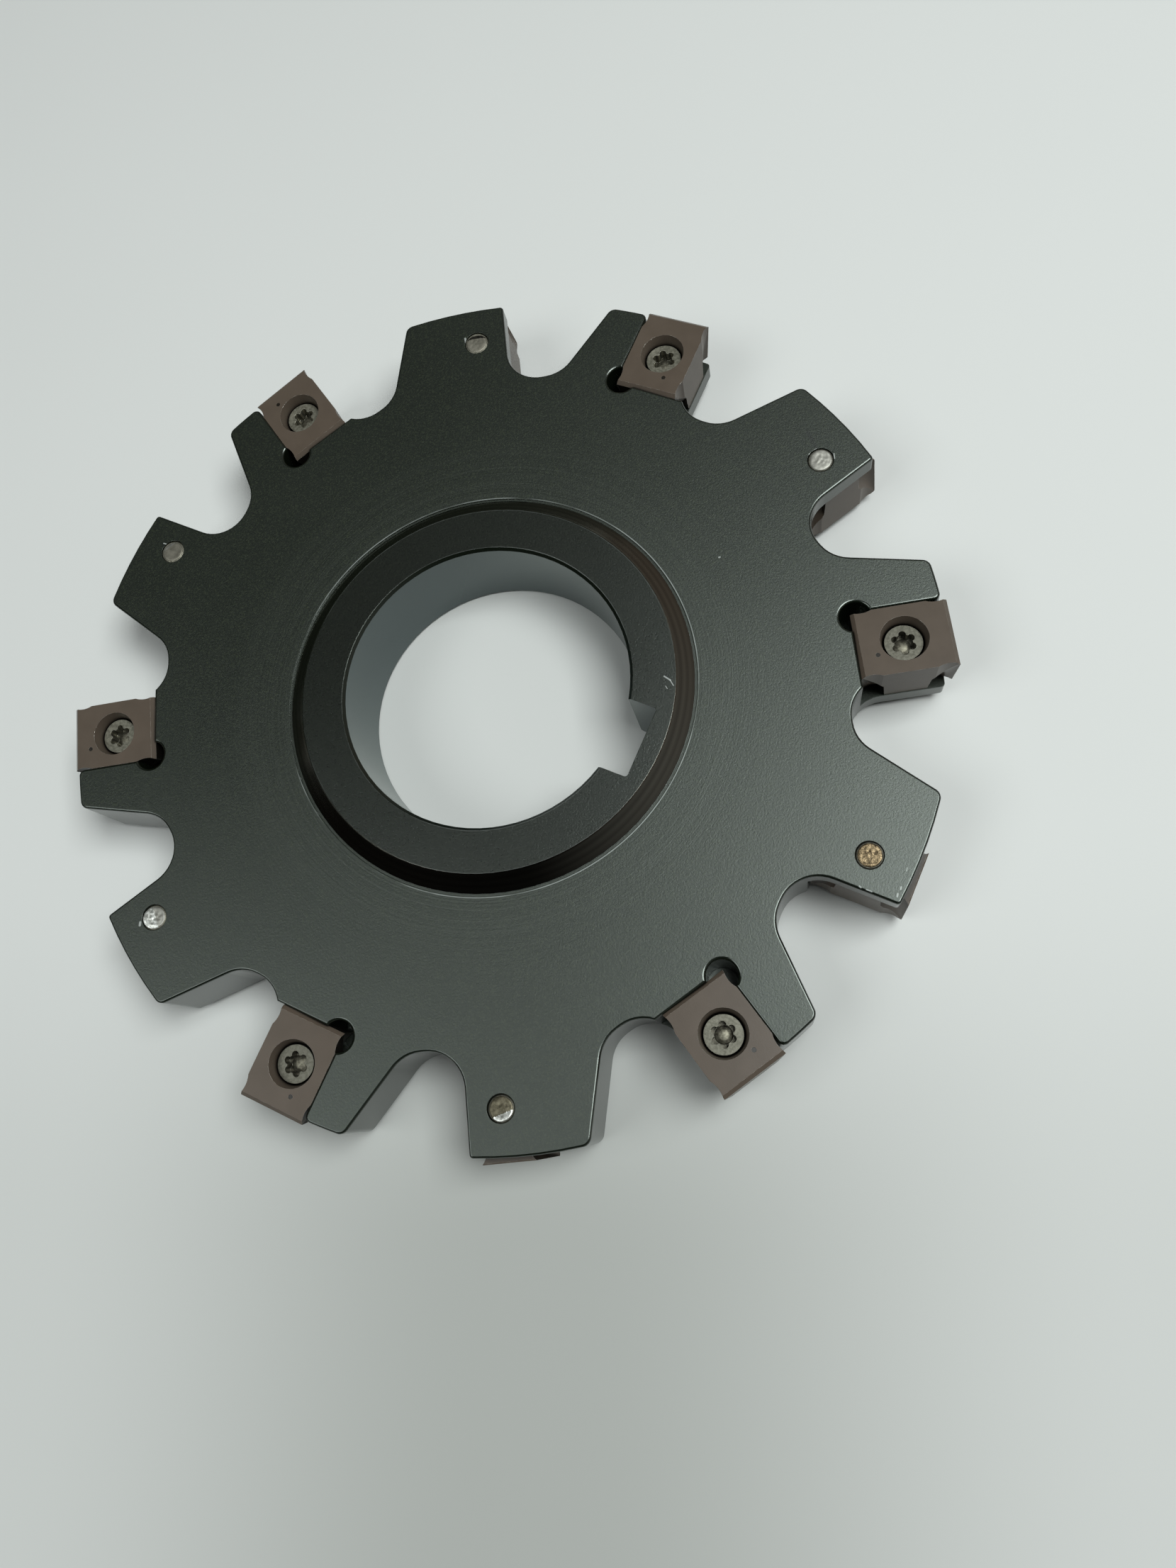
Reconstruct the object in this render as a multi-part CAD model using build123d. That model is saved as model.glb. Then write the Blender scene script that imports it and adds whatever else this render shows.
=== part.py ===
from build123d import *
import os
from math import cos, hypot, radians, sin, sqrt, tan

# Staggered-tooth slotting cutter: a steel disc with a hub, and carbide
# inserts screwed into twelve teeth, turn by turn on the upper and the lower
# face. The origin is on the bore axis at mid-thickness, +Z is the bore axis
# and +X points through the middle of the keyway. Millimetres throughout.

# Bore and keyway
bore_diameter = 40.0
bore_chamfer = 0.4
keyway_width = 10.0
keyway_reach = 23.5
keyway_corner_radius = 0.4

# Hub
hub_width = 14.0
hub_face_diameter = 52.6
hub_foot_diameter = 57.0
hub_rim_chamfer = 0.15
foot_groove_width = 0.4
foot_groove_depth = 0.2

# Disc
disc_thickness = 10.4
edge_round = 0.35

# Teeth and gullets, seen with the tooth pointing along +Y and cutting along +X
tooth_pairs = 6
first_tooth_angle = 28.9
cutting_diameter = 125.0
cutting_width = 11.0
rim_relief = 1.05
rake_offset = 6.13
lip_step = 0.05
back_offset = 9.04
back_angle = 12.0
back_corner_radius = 1.3
front_corner_radius = 0.5
gullet_depth = 13.68
gullet_radius = 5.0
front_floor_share = 0.9
floor_fill = 0.99

# Inserts
insert_length = 12.5
insert_width = 9.5
insert_thickness = 7.94
insert_turn = 0.9
insert_tilt = 2.9
insert_taper = 3.4
end_bevel = 0.5
foot_bevel = 0.15
flat_length = 7.0
flat_narrowing = 0.65
scallop_depth = 0.3
hollow_half_angle = 21.4
hollow_lean_out = 10.6
hollow_lean_back = 14.9
insert_hole_diameter = 4.3
insert_mouth_diameter = 6.3
mouth_flare = 0.3
dimple_diameter = 0.6
dimple_depth = 0.15
dimple_across = 1.8
dimple_along = 3.7
turned_upper_inserts = (1, 2)

# Pockets
seat_clearance = 0.02
relief_diameter = 4.1
relief_inset = 0.6
relief_overrun = 0.3
pocket_corner_radius = 0.8

# Screws
screw_diameter = 3.5
screw_lean_across = 1.6
screw_lean_along = 2.0
head_diameter = 5.0
head_sink = 1.5
ball_diameter = 5.3
ball_drop = 0.35
seat_cone_angle = 60.0
throat_diameter = 5.3
tip_chamfer = 0.15
tip_recess = 0.15
thread_clearance = 0.04
tapped_mouth_diameter = 3.7
lobe_count = 6
lobe_tip_diameter = 3.35
lobe_waist_diameter = 2.4
lobe_depth = 1.6

# How far a cut runs past the metal, and how near counts as the same place
overshoot = 12.0
near = 0.01

# Sizes that follow from those above
pitch_angle = 180.0 / tooth_pairs
disc_radius = cutting_diameter / 2 - rim_relief
gullet_floor_radius = disc_radius - gullet_depth
upper_angles = [first_tooth_angle + 2 * pitch_angle * n for n in range(tooth_pairs)]
lower_angles = [angle + pitch_angle for angle in upper_angles]
tip_height = sqrt((cutting_diameter / 2) ** 2 - rake_offset**2)
back_rim = Vector(-back_offset, sqrt(disc_radius**2 - back_offset**2))
half_width = insert_width / 2
half_length = insert_length / 2
half_thickness = insert_thickness / 2
side_slope = tan(radians(insert_taper))
foot_half_width = half_width - insert_thickness * side_slope
seat = (
    Pos(rake_offset, tip_height, cutting_width / 2)
    * Rot(0, -insert_tilt, insert_turn)
    * Pos(-half_width, -half_length, -half_thickness)
)
ball_height = half_thickness - head_sink - ball_drop
screw_seat = seat * Pos(0, 0, ball_height) * Rot(-screw_lean_along, screw_lean_across, 0)
screw_axis = Plane(screw_seat)
far_face = (-disc_thickness / 2 - screw_axis.origin.Z) / screw_axis.z_dir.Z


def at_tooth(angle):
    return Rot(0, 0, angle - 90)


def ring(*points):
    """A solid turned about Z from (radius, height) points."""
    outline = make_face(Polyline(*[(r, 0, z) for r, z in points], close=True))
    return revolve(outline, Axis.Z)


def gullet_outline(step):
    """The chip gullet ahead of a tooth, up to the next one at step degrees."""
    lean = tan(radians(insert_turn))
    front = Vector(rake_offset + lip_step, tip_height)
    front_foot = front + Vector(lean, -1) * (tip_height - gullet_floor_radius)
    front_top = front - Vector(lean, -1) * overshoot
    slope = tan(radians(back_angle))
    rim = back_rim.rotate(Axis.Z, -step)
    inward = Vector(-slope, -1).rotate(Axis.Z, -step)
    back_foot = rim + inward * ((gullet_floor_radius - rim.Y) / inward.Y)
    back_top = rim - inward * overshoot
    room = back_foot.X - front_foot.X
    front_share = tan(radians(90 - insert_turn) / 2)
    back_share = tan(radians(90 - step - back_angle) / 2)
    front_radius = min(gullet_radius, front_floor_share * room / front_share)
    rest = floor_fill * (room - front_radius * front_share)
    back_radius = min(gullet_radius, rest / back_share)
    radii = [front_radius, back_radius]
    floor = FilletPolyline(front_top, front_foot, back_foot, back_top, radius=radii)
    return make_face(floor + Line(back_top, front_top))


def disc():
    """The toothed disc, with its teeth rounded at the rim."""
    outline = Sketch() + Circle(disc_radius)
    gullet = gullet_outline(pitch_angle)
    for angle in upper_angles + lower_angles:
        outline -= at_tooth(angle) * gullet
    backs = [(at_tooth(angle) * Pos(*back_rim)).position for angle in upper_angles + lower_angles]
    corners = [v for v in outline.vertices() if hypot(v.X, v.Y) > disc_radius - near]
    rounded = [v for v in corners if min((Vector(v) - back).length for back in backs) < near]
    sharp = [v for v in corners if v not in rounded]
    outline = fillet(rounded, back_corner_radius)
    sharp = [outline.vertices().sort_by_distance(v)[0] for v in sharp]
    outline = fillet(sharp, front_corner_radius)
    return extrude(outline, disc_thickness / 2, both=True)


def hub():
    """The hub, coned down to the disc on both faces."""
    half = hub_width / 2
    face = hub_face_diameter / 2
    foot = hub_foot_diameter / 2
    rest = disc_thickness / 2
    return ring(
        (0, -half),
        (face - hub_rim_chamfer, -half),
        (face, -half + hub_rim_chamfer),
        (foot, -rest),
        (foot, rest),
        (face, half - hub_rim_chamfer),
        (face - hub_rim_chamfer, half),
        (0, half),
    )


def bore():
    """The bore with its chamfers, and the keyway, as one cutting shape."""
    half = hub_width / 2
    radius = bore_diameter / 2
    hole = ring(
        (0, -half),
        (radius + bore_chamfer, -half),
        (radius, -half + bore_chamfer),
        (radius, half - bore_chamfer),
        (radius + bore_chamfer, half),
        (0, half),
    )
    slot = Pos(keyway_reach / 2, 0) * Rectangle(keyway_reach, keyway_width)
    slot = fillet(slot.vertices().sort_by(Axis.X)[-2:], keyway_corner_radius)
    return hole + extrude(slot, hub_width, both=True)


def foot_groove():
    """The narrow groove turned round the foot of the hub, on both faces."""
    foot = hub_foot_diameter / 2
    rest = disc_thickness / 2
    upper = ring(
        (foot, rest - foot_groove_depth),
        (foot + foot_groove_width, rest - foot_groove_depth),
        (foot + foot_groove_width, rest + foot_groove_depth),
        (foot, rest + foot_groove_depth),
    )
    return upper + mirror(upper, Plane.XY)


def side_profile(height, gap):
    """The tapered section of an insert, or of its pocket up to any height."""
    top = half_width + (height - insert_thickness) * side_slope
    return top + gap, foot_half_width + gap


def pocket():
    """The space that one insert needs, with the relief hole at its corner."""
    gap = seat_clearance
    height = insert_thickness + overshoot
    top, foot = side_profile(height, gap)
    front = half_width + gullet_radius
    low = -half_thickness - gap
    section = Polyline(
        (-foot, 0, low), (front, 0, low), (front, 0, low + height), (-top, 0, low + height), close=True
    )
    reach = insert_length + overshoot
    space = Pos(0, -half_length - gap, 0) * extrude(make_face(section), reach, dir=(0, 1, 0))
    corner = Pos(relief_inset - half_width, relief_inset - half_length, low - relief_overrun)
    relief = corner * Cylinder(
        relief_diameter / 2, height, align=(Align.CENTER, Align.CENTER, Align.MIN)
    )
    return seat * (space + relief)


def tapped_hole():
    """The hole for one clamping screw, through the lip under the insert."""
    radius = screw_diameter / 2 + thread_clearance
    mouth = tapped_mouth_diameter / 2
    return screw_seat * ring(
        (0, 0),
        (radius, 0),
        (radius, far_face + mouth - radius),
        (mouth, far_face),
        (mouth, far_face - mouth),
        (0, far_face - mouth),
    )


def cutter_body():
    body = disc() + hub() - bore() - foot_groove()
    upper = pocket() + tapped_hole()
    lower = mirror(upper, Plane.XY)
    for angle in upper_angles:
        body -= at_tooth(angle) * upper
    for angle in lower_angles:
        body -= at_tooth(angle) * lower
    wall = (seat * Pos(-(half_width + foot_half_width) / 2, half_length, 0)).position
    rim = Vector(wall.X, sqrt(disc_radius**2 - wall.X**2), wall.Z)
    edges = []
    for angles, side in ((upper_angles, 1), (lower_angles, -1)):
        for angle in angles:
            place = at_tooth(angle) * Pos(rim.X, rim.Y, side * rim.Z)
            edges.append(body.edges().sort_by_distance(place.position)[0])
    body = fillet(edges, pocket_corner_radius)
    rest = disc_thickness / 2
    for height in (rest, -rest):
        faces = body.faces().filter_by(Axis.Z)
        faces = faces.filter_by_position(Axis.Z, height - near, height + near)
        body = fillet(faces.sort_by(SortBy.AREA)[-1].outer_wire().edges(), edge_round)
    return body


def end_scoop():
    """The hollow ground into a side of the insert at one of its ends."""
    chord = half_length - flat_length / 2
    radius = (chord**2 / 4 + scallop_depth**2) / (2 * scallop_depth)
    depth = 2 * insert_thickness
    scallop = Pos(radius - scallop_depth, -chord / 2) * Cylinder(radius, 2 * depth)
    out = tan(radians(hollow_lean_out))
    back = tan(radians(hollow_lean_back))
    spread = depth * tan(radians(hollow_half_angle))
    cone = Cone(0, spread, depth, align=(Align.CENTER, Align.CENTER, Align.MIN))
    hollow = Plane(origin=(0, 0, 0), z_dir=(out, -back, -1)) * cone
    limit = Plane(origin=(0, -chord, 0), z_dir=(0, 1, -flat_narrowing / insert_thickness))
    block = Box(4 * depth, 4 * depth, 4 * depth, align=(Align.CENTER, Align.CENTER, Align.MIN))
    end = limit * block
    corner = Pos(half_width, half_length, half_thickness) * Rot(0, insert_taper, 0)
    return corner * ((scallop + hollow) & end)


def insert_hole():
    """The screw hole, flared at the top, with a cone for the ball of the head."""
    mouth = insert_mouth_diameter / 2
    throat = throat_diameter / 2
    neck = insert_hole_diameter / 2
    lean = radians(seat_cone_angle / 2)
    ball = ball_diameter / 2 + seat_clearance
    touch = (ball * cos(lean), ball_height - ball * sin(lean))
    neck_height = touch[1] - (touch[0] - neck) / tan(lean)
    throat_height = touch[1] + (throat - touch[0]) / tan(lean)
    middle = (throat_height + half_thickness) / 2
    line = Polyline(
        (mouth, 0, half_thickness),
        (0, 0, half_thickness),
        (0, 0, -half_thickness),
        (neck, 0, -half_thickness),
        (neck, 0, neck_height),
        (throat, 0, throat_height),
    )
    line += ThreePointArc(
        (throat, 0, throat_height),
        (throat + (mouth - throat) * mouth_flare, 0, middle),
        (mouth, 0, half_thickness),
    )
    return revolve(make_face(line), Axis.Z)


def insert():
    """One carbide insert about its own middle, cutting toward +X."""
    top, foot = side_profile(insert_thickness, 0)
    section = Polyline(
        (-foot, 0, -half_thickness),
        (foot, 0, -half_thickness),
        (top, 0, half_thickness),
        (-top, 0, half_thickness),
        close=True,
    )
    solid = extrude(make_face(section), half_length, both=True)
    solid = chamfer(solid.edges().filter_by(Axis.X).group_by(Axis.Z)[-1], end_bevel)
    solid = chamfer(solid.edges().filter_by(Axis.X).group_by(Axis.Z)[0], foot_bevel)
    scoop = end_scoop()
    for piece in (scoop, mirror(scoop, Plane.XZ)):
        solid = solid - piece - mirror(piece, Plane.YZ)
    dimple = Pos(-dimple_across, dimple_along, half_thickness)
    solid -= dimple * Cylinder(dimple_diameter / 2, 2 * dimple_depth)
    return solid - insert_hole()


def driver_recess():
    """The six-lobed recess in the screw head."""
    waist = lobe_waist_diameter / 2
    lobe = (lobe_tip_diameter - lobe_waist_diameter) / 2
    outline = Sketch() + Circle(waist)
    for place in PolarLocations(waist, lobe_count):
        outline += place * Circle(lobe)
    return Pos(0, 0, ball_drop - lobe_depth) * extrude(outline, lobe_depth)


def screw():
    """One clamping screw about the middle of the ball of its head."""
    shank = screw_diameter / 2
    head = head_diameter / 2
    ball = ball_diameter / 2
    rim = -sqrt(ball**2 - head**2)
    neck = -sqrt(ball**2 - shank**2)
    tip = far_face + tip_recess
    between = (head + shank) / 2
    line = Polyline(
        (shank, 0, neck),
        (shank, 0, tip + tip_chamfer),
        (shank - tip_chamfer, 0, tip),
        (0, 0, tip),
        (0, 0, ball_drop),
        (head, 0, ball_drop),
        (head, 0, rim),
    )
    line += ThreePointArc(
        (head, 0, rim), (between, 0, -sqrt(ball**2 - between**2)), (shank, 0, neck)
    )
    return revolve(make_face(line), Axis.Z) - driver_recess()


os.makedirs("parts", exist_ok=True)
export_step(cutter_body(), "parts/cutter_body.step")
upper_insert = seat * insert()
turned_insert = seat * Rot(0, 0, 180) * insert()
lower_insert = mirror(upper_insert, Plane.XY)
upper_screw = screw_seat * screw()
lower_screw = mirror(upper_screw, Plane.XY)
for n in range(tooth_pairs):
    upper_place = at_tooth(upper_angles[n])
    lower_place = at_tooth(lower_angles[n])
    shown_insert = turned_insert if n + 1 in turned_upper_inserts else upper_insert
    export_step(upper_place * shown_insert, f"parts/upper_insert_{n + 1}.step")
    export_step(lower_place * lower_insert, f"parts/lower_insert_{n + 1}.step")
    export_step(upper_place * upper_screw, f"parts/upper_screw_{n + 1}.step")
    export_step(lower_place * lower_screw, f"parts/lower_screw_{n + 1}.step")
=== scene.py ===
from math import cos, pi, radians, sin

import bmesh
import bpy
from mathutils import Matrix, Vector, noise


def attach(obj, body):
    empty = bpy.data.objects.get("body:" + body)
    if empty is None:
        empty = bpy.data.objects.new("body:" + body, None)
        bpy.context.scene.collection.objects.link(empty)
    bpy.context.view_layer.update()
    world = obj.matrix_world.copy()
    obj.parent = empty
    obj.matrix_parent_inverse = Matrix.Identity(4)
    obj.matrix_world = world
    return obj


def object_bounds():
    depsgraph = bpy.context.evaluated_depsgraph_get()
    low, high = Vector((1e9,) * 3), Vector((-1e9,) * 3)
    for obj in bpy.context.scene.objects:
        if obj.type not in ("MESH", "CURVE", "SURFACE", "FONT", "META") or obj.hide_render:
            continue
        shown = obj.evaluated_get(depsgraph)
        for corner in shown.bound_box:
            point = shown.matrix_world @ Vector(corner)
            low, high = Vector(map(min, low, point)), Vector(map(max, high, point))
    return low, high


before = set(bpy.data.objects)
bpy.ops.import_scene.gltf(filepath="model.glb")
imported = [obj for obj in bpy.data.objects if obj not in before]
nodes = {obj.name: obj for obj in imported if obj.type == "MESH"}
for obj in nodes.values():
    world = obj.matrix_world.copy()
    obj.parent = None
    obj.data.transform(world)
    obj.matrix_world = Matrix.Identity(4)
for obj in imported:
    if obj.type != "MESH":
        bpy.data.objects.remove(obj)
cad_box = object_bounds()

mm = 0.001


# The table it lies on
# One large sheet of plain white paper, with a painted shadow on its near side
# and painted shade under the bore. The cutter stands on its lower hub face, so
# the teeth hang above the sheet.

class Wire:
    """A socket of a shader tree, on which plain arithmetic adds Math nodes."""

    def __init__(self, shading, socket):
        self.shading = shading
        self.socket = socket

    def math(self, operation, *values):
        return self.shading.node("ShaderNodeMath", {"operation": operation}, *values)

    def __add__(self, other):
        return self.math("ADD", self, other)

    def __sub__(self, other):
        return self.math("SUBTRACT", self, other)

    def __rsub__(self, other):
        return self.math("SUBTRACT", other, self)

    def __mul__(self, other):
        return self.math("MULTIPLY", self, other)

    def __abs__(self):
        return self.math("ABSOLUTE", self)

    def __pow__(self, other):
        return self.math("POWER", self, other)

    def __gt__(self, other):
        return self.math("GREATER_THAN", self, other)

    def __lt__(self, other):
        return self.math("LESS_THAN", self, other)

    __radd__ = __add__
    __rmul__ = __mul__


class Shading:
    """A shader tree, and one method that adds any node to it."""

    def __init__(self, tree):
        self.tree = tree

    def node(self, kind, settings, *values, output=0, **named):
        made = self.tree.nodes.new(kind)
        for key, value in settings.items():
            setattr(made, key, value)
        pairs = list(enumerate(values)) + [(key.replace("_", " "), v) for key, v in named.items()]
        for key, value in pairs:
            if isinstance(value, Wire):
                self.tree.links.new(value.socket, made.inputs[key])
            elif value is not None:
                made.inputs[key].default_value = value
        return Wire(self, made.outputs[output])

    def vector(self, operation, *values, output=0, **named):
        settings = {"operation": operation}
        return self.node("ShaderNodeVectorMath", settings, *values, output=output, **named)

    def dot(self, first, second):
        return self.vector("DOT_PRODUCT", first, second, output="Value")

    def split(self, vector):
        """The three parts of a vector."""
        made = self.node("ShaderNodeSeparateXYZ", {}, vector).socket.node
        return [Wire(self, socket) for socket in made.outputs]

    def fade(self, value, start, end, low=0.0, high=1.0):
        """From low at start to high at end, smooth between them."""
        settings = {"interpolation_type": "SMOOTHSTEP"}
        return self.node("ShaderNodeMapRange", settings, value, start, end, low, high)

    def mix(self, factor, first, second):
        """The first colour at factor 0 and the second at factor 1."""
        made = self.node("ShaderNodeMix", {"data_type": "RGBA"}, output=2, Factor=factor)
        for index, value in ((6, first), (7, second)):
            socket = made.socket.node.inputs[index]
            if isinstance(value, Wire):
                self.tree.links.new(value.socket, socket)
            else:
                socket.default_value = (*value, 1)
        return made


class Finish(Shading):
    """One procedural material: its Principled shader, and the nodes that feed it."""

    def __init__(self, name, **constants):
        self.material = bpy.data.materials.new(name)
        self.material.use_nodes = True
        super().__init__(self.material.node_tree)
        self.shader = self.tree.nodes["Principled BSDF"]
        for socket, value in constants.items():
            self.shader.inputs[socket.replace("_", " ")].default_value = value

    def feed(self, **links):
        for socket, wire in links.items():
            self.tree.links.new(wire.socket, self.shader.inputs[socket.replace("_", " ")])

    def place(self):
        """Object coordinates, which are metres in the cutter's own frame."""
        return self.node("ShaderNodeTexCoord", {}, output="Object")

    def noise(self, where, scale, detail=2.0, roughness=0.5):
        return self.node(
            "ShaderNodeTexNoise", {}, Vector=where, Scale=scale, Detail=detail, Roughness=roughness
        )

    def bump(self, height, strength, distance, normal=None):
        return self.node(
            "ShaderNodeBump", {}, Height=height, Strength=strength, Distance=distance, Normal=normal
        )

    def rounded(self, radius):
        """The normal with its edges rounded off, and the true normal."""
        soft = self.node("ShaderNodeBevel", {"samples": 4}, radius)
        return soft, self.node("ShaderNodeNewGeometry", {}, output="True Normal")

    def edge(self, soft, true):
        """1 on an edge and 0 on the faces, from the two normals."""
        still_flat, fully_turned = 0.97, 0.80
        return self.fade(self.dot(soft, true), still_flat, fully_turned)

    def band(self, radius, middle, width):
        """1 on a thin circle about the bore, with its sizes in millimetres, and 0 away from it."""
        return self.fade(abs(radius - middle * mm), width * mm / 2, width * mm / 4)

    def stroke(self, place, start, end, width):
        """1 along a short line between two points in millimetres, and 0 away from it."""
        start, end = Vector(start) * mm, Vector(end) * mm
        core = width * 0.4
        run = end - start
        away = self.vector("SUBTRACT", place, start)
        share = self.dot(away, run / run.length_squared)
        share = self.node("ShaderNodeMath", {"operation": "ADD", "use_clamp": True}, share, 0.0)
        foot = self.vector("SCALE", run, Scale=share)
        gap = self.vector("DISTANCE", away, foot, output="Value")
        return self.fade(gap, width * mm, core * mm)


def placed(name, data):
    """A new object in the scene."""
    thing = bpy.data.objects.new(name, data)
    bpy.context.scene.collection.objects.link(thing)
    return thing


toward_near_side = (0.405, -0.914, 0.0)
toward_right = (0.914, 0.405, 0.0)
flat_on_table = (1.0, 1.0, 0.0)
# The painted shadow on the near side: where it starts, is full, weakens and ends, and its middle and
# half width.
shadow_starts, shadow_full = 15 * mm, 75 * mm
shadow_weakens, shadow_ends = 140 * mm, 300 * mm
shadow_middle, shadow_half_width = 5 * mm, 75 * mm
bore_shade_starts, bore_shade_full = 24 * mm, 19 * mm
warm_white, cool_white = (0.640, 0.643, 0.628), (0.688, 0.690, 0.678)
# The paper's colour where shade is painted on it.
shaded_white = (0.365, 0.372, 0.352)

paper = Finish("paper", Roughness=0.85, Specular_IOR_Level=0.25)
place = paper.place()
fibre = paper.noise(place, 900.0, detail=4.0)
cloud = paper.noise(place, 6.0)
nearer = paper.dot(place, toward_near_side)
aside = paper.dot(place, toward_right)
# Painted shadow: a broad band on the near side of the cutter, fading out far away.
in_line = paper.fade(abs(aside - shadow_middle), shadow_half_width, 5 * mm)
painted_near_shadow = paper.fade(nearer, shadow_starts, shadow_full) * (0.30 + 0.70 * in_line)
painted_near_shadow = painted_near_shadow * paper.fade(nearer, shadow_ends, shadow_weakens)
from_axis = paper.vector("LENGTH", paper.vector("MULTIPLY", place, flat_on_table), output="Value")
# Painted shade on the paper under the bore, inside the hub's wall.
painted_bore_shade = paper.fade(from_axis, bore_shade_starts, bore_shade_full)
painted_paper_shade = painted_near_shadow + painted_bore_shade * 0.25
white = paper.mix(cloud, warm_white, cool_white)
paper.feed(
    Base_Color=paper.mix(painted_paper_shade * 0.9, white, shaded_white),
    Normal=paper.bump(fibre, 0.05, 0.2 * mm),
)
sheet_half = 1.5
sheet_height = cad_box[0][2]
corners = [(-1, -1), (1, -1), (1, 1), (-1, 1)]
sheet_mesh = bpy.data.meshes.new("paper_sheet")
sheet_mesh.from_pydata(
    [(x * sheet_half, y * sheet_half, sheet_height) for x, y in corners], [], [(0, 1, 2, 3)]
)
sheet_mesh.materials.append(paper.material)
placed("paper_sheet", sheet_mesh)


# The cutter body
# A disc of tool steel, turned all over, milled into twelve teeth and then
# oxidised black, so the fine rings of the lathe still show on its faces.

def coat(piece, material):
    """Give a CAD piece this one finish."""
    piece.data.materials.clear()
    piece.data.materials.append(material)


oxide_deep, oxide_green = (0.0022, 0.0040, 0.0020), (0.0058, 0.0078, 0.0048)
oxide_dusty = (0.018, 0.023, 0.010)
lathe_line = (0.050, 0.056, 0.047)
highlight_grey = (0.33, 0.35, 0.34)
hub_black = (0.0030, 0.0036, 0.0024)
bore_blue = (0.052, 0.070, 0.076)
cone_brown, cone_tan = (0.16, 0.153, 0.132), (0.235, 0.228, 0.195)
scratch_grey = (0.60, 0.62, 0.60)
dent_shade_black = (0.002, 0.002, 0.002)
bare_steel = (0.80, 0.81, 0.78)

# Radius and width in millimetres of the painted highlights, fine bright circles
# for the light on the hub's rim, the two sides of the groove at its foot, and
# the mouth of the bore.
highlight_circles = ((26.15, 0.20), (28.45, 0.12), (29.02, 0.18), (20.42, 0.12))

# Height of the face, both ends and the width of each scratch, in millimetres.
hub_face, disc_face = 7.0, 5.2
scratch_marks = (
    (hub_face, (22.68, 9.51), (23.62, 9.30), 0.14),
    (hub_face, (23.62, 9.30), (24.33, 8.74), 0.09),
    (hub_face, (23.40, 8.30), (23.75, 8.05), 0.07),
    (disc_face, (55.70, -7.00), (55.92, -7.08), 0.13),
    (disc_face, (56.61, -7.06), (57.33, -7.08), 0.10),
    (disc_face, (60.37, -5.20), (60.41, -5.50), 0.13),
    (disc_face, (60.28, -6.15), (60.34, -6.50), 0.14),
    (disc_face, (60.22, -2.66), (60.29, -3.11), 0.06),
    (disc_face, (22.58, 28.55), (22.68, 28.63), 0.15),
    (disc_face, (-27.35, 49.70), (-26.90, 49.05), 0.20),
    (disc_face, (-57.60, 3.55), (-56.70, 3.60), 0.13),
    (disc_face, (-31.78, -48.05), (-31.66, -48.40), 0.24),
    (disc_face, (28.45, 46.95), (29.05, 48.10), 0.11),
    (disc_face, (31.60, 48.10), (31.95, 47.40), 0.10),
)
# A dent, drawn as a near-black line of painted shade.
dent_start, dent_end, dent_width = (27.09, 50.11, disc_face), (28.89, 48.37, disc_face), 0.45

# Past the bore's side come the hub's rim and then the foot of its cone.
bore_side, hub_rim, cone_foot = 25.0 * mm, 26.6 * mm, 28.6 * mm
ring_drift, ring_pitch = 9.0, 3600.0

steel = Finish(
    "black_oxide_steel", IOR=1.73, Specular_Tint=(0.93, 1.0, 0.93, 1.0), Coat_Roughness=0.22
)
place = steel.place()
x, y = steel.split(place)[:2]
radius = (x * x + y * y) ** 0.5
soft, true = steel.rounded(0.10 * mm)
upright = steel.split(true)[2] ** 2.0
flat = upright > 0.98
cone = (upright > 0.4) * (upright < 0.8) * (radius < cone_foot) * (radius > bore_side)
bore = (upright < 0.2) * (radius < bore_side)
on_hub = flat * (radius < hub_rim)
around = steel.node(
    "ShaderNodeCombineXYZ", {}, x * ring_drift, y * ring_drift, radius * ring_pitch
)
rings = steel.noise(around, 1.0, detail=3.0, roughness=0.7)
sand = steel.noise(place, 3600.0, detail=3.0, roughness=0.8)
patches = steel.noise(place, 38.0, detail=5.0, roughness=0.6)
near_hub = steel.fade(radius, 42 * mm, 30 * mm)
turned = (flat - on_hub * 0.8) * (0.10 + near_hub * 0.90)
# Lighter edges all round: partly worn bare steel, partly a painted sheen for the light on their
# rounding.
specks = steel.fade(steel.noise(place, 1900.0), 0.64, 0.70)
wear_and_sheen = steel.edge(soft, true) * (0.02 + specks * 0.35)
# Painted highlights: thin bright circles on the small edges about the hub and bore.
painted_highlights = sum(steel.band(radius, middle, width) for middle, width in highlight_circles)
painted_highlights = flat * painted_highlights * steel.fade(patches, 0.44, 0.60)
scratches = sum(
    steel.stroke(place, (*start, height), (*end, height), width)
    for height, start, end, width in scratch_marks
)
painted_dent_shade = steel.stroke(place, dent_start, dent_end, dent_width)
streaks = steel.fade(steel.noise(around, 0.35, detail=3.0), 0.35, 0.65)

colour = steel.mix(patches, oxide_deep, oxide_green)
colour = steel.mix(flat * steel.fade(sand, 0.48, 0.70), colour, oxide_dusty)
colour = steel.mix(turned * steel.fade(rings, 0.40, 0.62) * 0.14, colour, lathe_line)
colour = steel.mix(painted_highlights * 0.6, colour, highlight_grey)
colour = steel.mix(on_hub * 0.7, colour, hub_black)
colour = steel.mix(bore, colour, bore_blue)
colour = steel.mix(cone, colour, steel.mix(streaks, cone_brown, cone_tan))
colour = steel.mix(scratches * 0.5, colour, scratch_grey)
colour = steel.mix(painted_dent_shade * 0.8, colour, dent_shade_black)
steel.feed(
    Base_Color=steel.mix(wear_and_sheen, colour, bare_steel),
    Metallic=bore * 0.30 + cone + wear_and_sheen * 0.6,
    Coat_Weight=on_hub * 0.70,
    Roughness=0.20 + flat * (0.10 + patches * 0.06 + sand * 0.14) - on_hub * 0.11 - cone * 0.04,
    Normal=steel.bump(rings * turned * 0.8 + sand * flat, 0.62, 0.05 * mm, soft),
)
coat(nodes["cutter_body"], steel.material)


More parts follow.
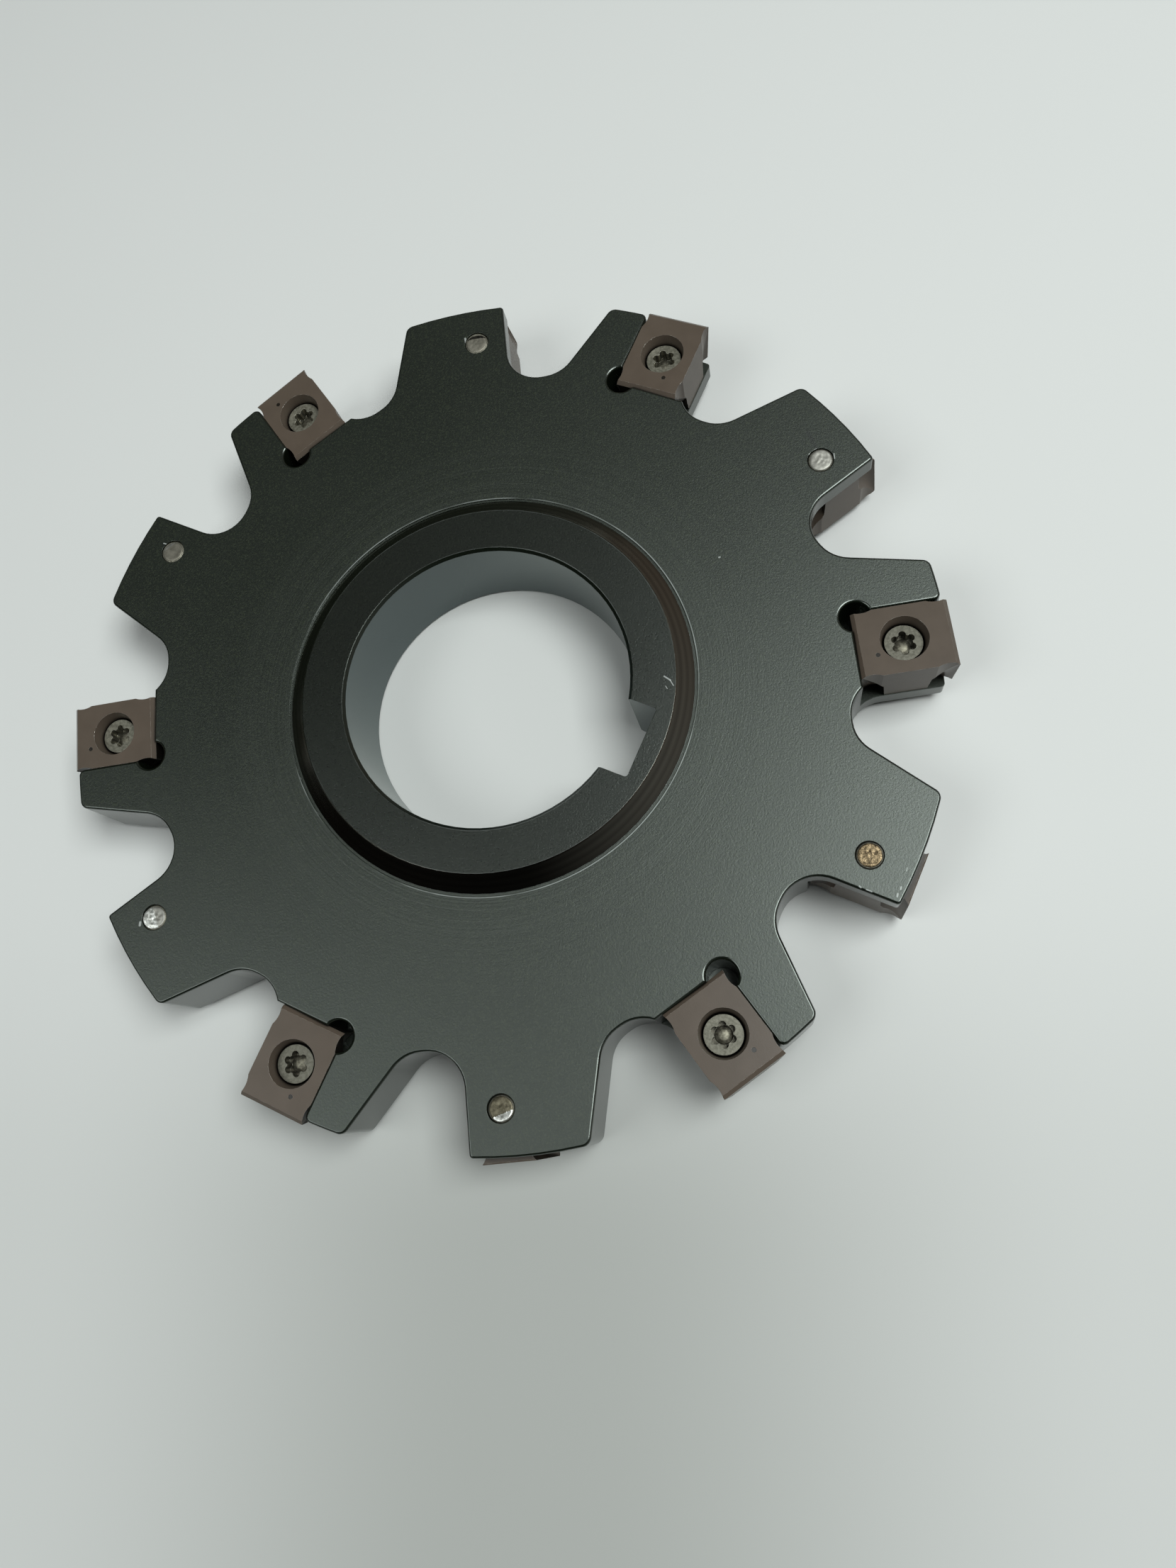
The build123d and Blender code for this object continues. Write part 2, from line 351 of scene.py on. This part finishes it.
# The inserts
# Pressed and ground pieces of cemented carbide with a brown-violet coating,
# each held in its pocket by one screw through its middle.

coating_dark, coating_light = (0.075, 0.057, 0.043), (0.103, 0.079, 0.061)
bare_carbide = (0.75, 0.72, 0.66)
unlit_hole = (0.006, 0.005, 0.004)

carbide = Finish("coated_carbide", IOR=1.33)
place = carbide.place()
grain = carbide.noise(place, 5200.0, detail=3.0)
soft, true = carbide.rounded(0.06 * mm)
chipping = carbide.fade(carbide.noise(place, 1500.0, detail=3.0), 0.40, 0.58)
worn = carbide.edge(soft, true) * chipping
# Painted shade in the screw hole and other hollows of the insert, darker where less light gets in.
openness = carbide.node("ShaderNodeAmbientOcclusion", {"samples": 8}, Distance=2.5 * mm, output=1)
painted_hollow_shade = carbide.fade(openness, 0.80, 0.35)
colour = carbide.mix(carbide.noise(place, 350.0, detail=4.0), coating_dark, coating_light)
colour = carbide.mix(painted_hollow_shade, colour, unlit_hole)
carbide.feed(
    Base_Color=carbide.mix(worn * 0.75, colour, bare_carbide),
    Metallic=worn * 0.7,
    Roughness=0.28 + grain * 0.12,
    Normal=carbide.bump(grain, 0.25, 0.02 * mm, soft),
)
inserts = [piece for name, piece in nodes.items() if "insert" in name]
for piece in inserts:
    coat(piece, carbide.material)


# The clamping screws
# Small case-hardened screws with a ball-seated head and a six-lobed recess,
# each with a shade of its own from the heat, and oil and dirt in the recess,
# which is darkened further with painted shade.

rim_dark, rim_light, rim_worn = (0.25, 0.237, 0.185), (0.43, 0.41, 0.33), (0.75, 0.71, 0.60)
oil_and_shade = (0.036, 0.032, 0.023)
head_top, recess_depth = 3.75 * mm, 3.2 * mm
screw_lightness = (0.29, 0.80, 0.92, 0.74, 0.32, 0.32)


def screw_steel(name, lightness):
    """The finish of one screw, lighter or darker than the next one's."""
    dark, light, worn = (
        tuple(lightness * part for part in shade) for shade in (rim_dark, rim_light, rim_worn)
    )
    hard = Finish(name, Metallic=0.8)
    place = hard.place()
    grain = hard.noise(place, 2600.0, detail=4.0, roughness=0.7)
    grime = hard.noise(place, 1400.0, detail=3.0)
    soft, true = hard.rounded(0.08 * mm)
    inside = hard.fade(abs(hard.split(place)[2]), head_top, recess_depth)
    colour = hard.mix(hard.fade(grain, 0.35, 0.65), dark, light)
    # The recess darkens with depth: oil and dirt, and painted shade.
    colour = hard.mix(inside * (0.40 + grime * 0.4), colour, oil_and_shade)
    hard.feed(
        Base_Color=hard.mix(hard.edge(soft, true) * 0.5, colour, worn),
        Roughness=0.34 + grain * 0.16 - inside * 0.12,
        Normal=hard.bump(grain, 0.35, 0.04 * mm, soft),
    )
    return hard.material


for number, lightness in enumerate(screw_lightness, start=1):
    for side in ("upper", "lower"):
        shade = screw_steel(f"{side}_screw_steel_{number}", lightness)
        coat(nodes[f"{side}_screw_{number}"], shade)


# The floors of the driver recesses
# The punch that forged each recess left a shallow raised floor in it, which
# stays brighter than the walls, dark with oil and painted shade, and catches
# the light on one side.

def level_facets(piece, lowest, highest):
    """The middle and the outward direction of a piece's level facets between two heights."""
    middle, outward, area = Vector(), Vector(), 0.0
    for facet in piece.data.polygons:
        if abs(facet.normal.z) > 0.99 and lowest < abs(facet.center.z) < highest:
            middle += facet.center * facet.area
            outward += facet.normal * facet.area
            area += facet.area
    return middle / area, outward.normalized()


class Repeat:
    """A Geometry Nodes tree that stands one small shape on each of some points."""

    def __init__(self, name, **sizes):
        self.tree = bpy.data.node_groups.new(name, "GeometryNodeTree")
        self.tree.interface.new_socket("Points", in_out="INPUT", socket_type="NodeSocketGeometry")
        self.sizes = {}
        for size, value in sizes.items():
            kind = "NodeSocketInt" if isinstance(value, int) else "NodeSocketFloat"
            socket = self.tree.interface.new_socket(size, in_out="INPUT", socket_type=kind)
            self.sizes[socket.identifier] = value
        self.tree.interface.new_socket("Geometry", in_out="OUTPUT", socket_type="NodeSocketGeometry")
        self.given = self.tree.nodes.new("NodeGroupInput").outputs
        self.result = self.tree.nodes.new("NodeGroupOutput").inputs

    def node(self, kind, settings, **values):
        made = self.tree.nodes.new(kind)
        for key, value in settings.items():
            setattr(made, key, value)
        for key, value in values.items():
            socket = made.inputs[key.replace("_", " ")]
            if isinstance(value, bpy.types.NodeSocket):
                self.tree.links.new(value, socket)
            else:
                socket.default_value = value
        return made.outputs[0]

    def stand(self, shape, material):
        """End the tree with the shape on every point, along the point's own direction."""
        as_vector = {"data_type": "FLOAT_VECTOR"}
        upward = self.node("GeometryNodeInputNamedAttribute", as_vector, Name="upward")
        turn = self.node("FunctionNodeAlignRotationToVector", {"axis": "Z"}, Vector=upward)
        points = self.given["Points"]
        standing = self.node(
            "GeometryNodeInstanceOnPoints", {}, Points=points, Instance=shape, Rotation=turn
        )
        real = self.node("GeometryNodeRealizeInstances", {}, Geometry=standing)
        coated = self.node("GeometryNodeSetMaterial", {}, Geometry=real, Material=material)
        self.tree.links.new(coated, self.result[0])

    def made(self, name, places):
        """A plain mesh of the shape at each (middle, direction) of places."""
        points = bpy.data.meshes.new(name + "_points")
        points.from_pydata([middle for middle, direction in places], [], [])
        upward = points.attributes.new("upward", "FLOAT_VECTOR", "POINT")
        for item, (middle, direction) in zip(upward.data, places):
            item.vector = direction
        carrier = placed(name + "_points", points)
        modifier = carrier.modifiers.new("repeat", "NODES")
        modifier.node_group = self.tree
        for identifier, value in self.sizes.items():
            modifier[identifier] = value
        seen = carrier.evaluated_get(bpy.context.evaluated_depsgraph_get())
        mesh = bpy.data.meshes.new_from_object(seen)
        carrier.modifiers.remove(modifier)
        bpy.data.objects.remove(carrier)
        mesh.name = name
        return placed(name, mesh)


punched_dark, punched_light = (0.105, 0.097, 0.073), (0.22, 0.206, 0.160)
recess_floor_heights = (1.8 * mm, 3.0 * mm)

punched = Finish("punched_steel", Metallic=0.85)
grain = punched.noise(punched.place(), 2400.0, detail=4.0, roughness=0.7)
punched.feed(
    Base_Color=punched.mix(punched.fade(grain, 0.38, 0.62), punched_dark, punched_light),
    Roughness=0.38 + grain * 0.2,
    Normal=punched.bump(grain, 0.4, 0.05 * mm),
)
domes = Repeat("recess_floor", Radius=1.17 * mm, Crown=0.62 * mm, Rise=0.26 * mm, Sides=32)
dome = domes.node(
    "GeometryNodeMeshCone",
    {"fill_type": "TRIANGLE_FAN"},
    Vertices=domes.given["Sides"],
    Side_Segments=5,
    Radius_Top=domes.given["Crown"],
    Radius_Bottom=domes.given["Radius"],
    Depth=domes.given["Rise"],
)
domes.stand(domes.node("GeometryNodeSetShadeSmooth", {}, Geometry=dome), punched.material)
screws = [piece for name, piece in nodes.items() if "screw" in name]
floors = domes.made("recess_floors", [level_facets(piece, *recess_floor_heights) for piece in screws])
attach(floors, "root")


# The dark fill of the index marks
# Each insert has one small round mark pressed into its face, with a thin dark
# disc laid in it.

insert_face_height = 4.5 * mm
mark_depths = (0.10 * mm, 0.20 * mm)
fill_rise = 0.09 * mm


def mark_fill(piece):
    """The middle and the outward direction of the dark disc in an insert's round mark."""
    facets = [facet for facet in piece.data.polygons if abs(facet.center.z) > insert_face_height]
    face = max(facets, key=lambda facet: facet.area * (abs(facet.normal.z) > 0.99))
    shallow, deep = mark_depths
    middle, area = Vector(), 0.0
    for facet in facets:
        sunk = (face.center - facet.center).dot(face.normal)
        if facet.normal.dot(face.normal) > 0.999 and shallow < sunk < deep:
            middle += facet.center * facet.area
            area += facet.area
    return middle / area + face.normal * fill_rise, face.normal.copy()


fill_black, fill_brown = (0.004, 0.003, 0.002), (0.022, 0.017, 0.012)

dark_fill = Finish("dark_mark_fill", Roughness=0.35, IOR=1.45)
dark_fill.feed(Base_Color=dark_fill.mix(dark_fill.noise(dark_fill.place(), 6000.0), fill_black, fill_brown))
marks = Repeat("index_mark", Radius=0.29 * mm, Sides=20)
disc = marks.node(
    "GeometryNodeMeshCircle",
    {"fill_type": "TRIANGLE_FAN"},
    Vertices=marks.given["Sides"],
    Radius=marks.given["Radius"],
)
marks.stand(disc, dark_fill.material)
filled = marks.made("index_mark_grime", [mark_fill(piece) for piece in inserts])
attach(filled, "root")


# The ends of the screws
# Each screw comes out through the far face of its tooth, where its end was
# cut or sheared: rough, or with a bright slanting flat partly painted as a
# highlight, or brown from heat. One end has a flat of painted shadow.

def sheared_steel(name, low, high, grain_scale, roughness):
    """A cut end's finish, from its darkest shade to its lightest."""
    cut = Finish(name, Metallic=0.8)
    grain = cut.noise(cut.place(), grain_scale, detail=4.0, roughness=0.7)
    cut.feed(
        Base_Color=cut.mix(cut.fade(grain, 0.36, 0.64), low, high),
        Roughness=roughness + grain * 0.2,
        Normal=cut.bump(grain, 0.4, 0.06 * mm),
    )
    return cut.material


end_radius, end_rise, skirt_drop = 1.55 * mm, 0.10 * mm, 0.2 * mm
rim_drop, rim_sharpness = 0.08 * mm, 12
relief_scale = 2600.0
end_rings, end_sides = 14, 40


def screw_end(name, centre, upward, finishes, roughness, flat_side, flat_reach, flat_slope):
    """The end of a screw: a rough disc with one slanting flat past flat_reach, on its own side."""
    across = Vector((cos(radians(flat_side)), sin(radians(flat_side)), 0))
    across = (across - upward * across.dot(upward)).normalized()
    along = upward.cross(across)
    points, facets = [], []

    def join(upper_ring, lower_ring, side):
        """One facet between two rings of points, which each start at the given index."""
        following = (side + 1) % end_sides
        facets.append(
            (upper_ring + side, lower_ring + side, lower_ring + following, upper_ring + following)
        )

    for ring in range(end_rings + 1):
        for side in range(end_sides):
            angle = 2 * pi * side / end_sides
            u = end_radius * ring / end_rings * cos(angle)
            v = end_radius * ring / end_rings * sin(angle)
            relief = noise.noise(Vector((u, v, centre.x)) * relief_scale) * roughness
            slant = max(0.0, u - flat_reach) * flat_slope
            rim = rim_drop * (ring / end_rings) ** rim_sharpness
            height = end_rise + relief - slant - rim
            points.append(centre + across * u + along * v + upward * height)
            if ring:
                join((ring - 1) * end_sides, ring * end_sides, side)
    outermost, skirt = end_rings * end_sides, len(points)
    for side in range(end_sides):
        points.append(points[outermost + side] - upward * skirt_drop)
        join(outermost, skirt, side)
    mesh = bpy.data.meshes.new(name)
    mesh.from_pydata(points, [], facets)
    for finish in finishes:
        mesh.materials.append(finish)
    shape = bmesh.new()
    shape.from_mesh(mesh)
    bmesh.ops.remove_doubles(shape, verts=shape.verts, dist=1e-7)
    bmesh.ops.recalc_face_normals(shape, faces=shape.faces)
    for facet in shape.faces:
        facet.smooth = True
        if (facet.calc_center_median() - centre).dot(across) > flat_reach:
            facet.material_index = 1
    shape.to_mesh(mesh)
    shape.free()
    piece = placed(name, mesh)
    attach(piece, "root")


# A bright cut flat, partly a painted highlight where the flat faces the lamp.
silver_and_highlight = sheared_steel("sheared_silver", (0.42, 0.42, 0.38), (0.95, 0.95, 0.90), 1500.0, 0.28)
pale = sheared_steel("sheared_pale", (0.29, 0.28, 0.25), (0.36, 0.35, 0.315), 900.0, 0.42)
taupe = sheared_steel("sheared_taupe", (0.20, 0.187, 0.152), (0.26, 0.243, 0.200), 900.0, 0.42)
earth = sheared_steel("sheared_brown", (0.080, 0.070, 0.045), (0.145, 0.128, 0.088), 2200.0, 0.36)
gold = sheared_steel("sheared_gold", (0.040, 0.026, 0.013), (0.25, 0.185, 0.105), 6500.0, 0.24)
# A near-black flat of painted shadow, where the wall of the hole shades a sunk end.
sunk = sheared_steel("painted_shadow_end", (0.010, 0.009, 0.007), (0.035, 0.032, 0.026), 1500.0, 0.40)

# The finishes of the end and of its flat, the roughness in millimetres, the
# side of the flat in degrees, its reach in millimetres, and its slope.
ends = (
    ((pale, pale), 0.04, 200, 0.9, 0.12),
    # This end's flat is painted shadow.
    ((taupe, sunk), 0.02, 118, 0.72, 0.15),
    ((taupe, pale), 0.01, 150, 0.95, 0.10),
    ((pale, silver_and_highlight), 0.07, -135, -0.2, -0.14),
    ((earth, silver_and_highlight), 0.05, -44, 0.62, -0.22),
    ((gold, gold), 0.07, 0, 2.0, 0.0),
)
screw_tip_heights = (4.9 * mm, 5.4 * mm)
for number, (finishes, roughness, flat_side, flat_reach, flat_slope) in enumerate(ends, start=1):
    for side in ("upper", "lower"):
        centre, upward = level_facets(nodes[f"{side}_screw_{number}"], *screw_tip_heights)
        screw_end(
            f"{side}_screw_end_{number}",
            centre,
            upward,
            finishes,
            roughness * mm,
            flat_side,
            flat_reach * mm,
            flat_slope,
        )


# The light
# A dim room, brighter and cooler on the side of its windows. Two broad soft
# lamps high above the table are the windows themselves.

bpy.context.scene.view_settings.view_transform = "Standard"
window_side = (0.62, 0.68, 0.38)
low_light, high_light = (0.80, 0.67, 0.57), (0.96, 1.0, 0.98)
daylight = (0.94, 0.998, 0.99)
window_width = 0.35

world = bpy.data.worlds.new("room")
world.use_nodes = True
bpy.context.scene.world = world
room = Shading(world.node_tree)
direction = room.node("ShaderNodeTexCoord", {}, output="Generated")
strength = room.fade(room.dot(direction, window_side), -0.15, 1.0, low=0.007, high=0.205)
height = room.split(direction)[2]
upper_room = room.node("ShaderNodeMapRange", {}, height, 0.15, 0.6, 0.0, 1.0)
colour = room.mix(upper_room, low_light, high_light)
backdrop = room.tree.nodes["Background"].inputs
room.tree.links.new(colour.socket, backdrop["Color"])
room.tree.links.new(strength.socket, backdrop["Strength"])


def soft_lamp(name, place, power):
    """A square lamp turned toward the middle of the cutter."""
    lamp = bpy.data.lights.new(name, "AREA")
    lamp.size = window_width
    lamp.energy = power
    lamp.color = daylight
    holder = placed(name, lamp)
    holder.location = place
    holder.rotation_euler = (-Vector(place)).to_track_quat("-Z", "Y").to_euler()


soft_lamp("window", (0.252, 0.147, 0.637), 4.5)
soft_lamp("second_window", (-0.26, -0.31, 0.57), 1.35)


# The camera
# Held by hand about 150 mm above the cutter and tipped slightly.

lens = bpy.data.cameras.new("camera")
lens.sensor_fit = "HORIZONTAL"
lens.sensor_width = 36.0
lens.lens = 34.39
lens.clip_start = 0.01
camera = placed("camera", lens)
camera.location = (57.354 * mm, -32.693 * mm, 146.149 * mm)
camera.rotation_euler = (radians(15.187), radians(10.111), radians(23.919))
bpy.context.scene.camera = camera
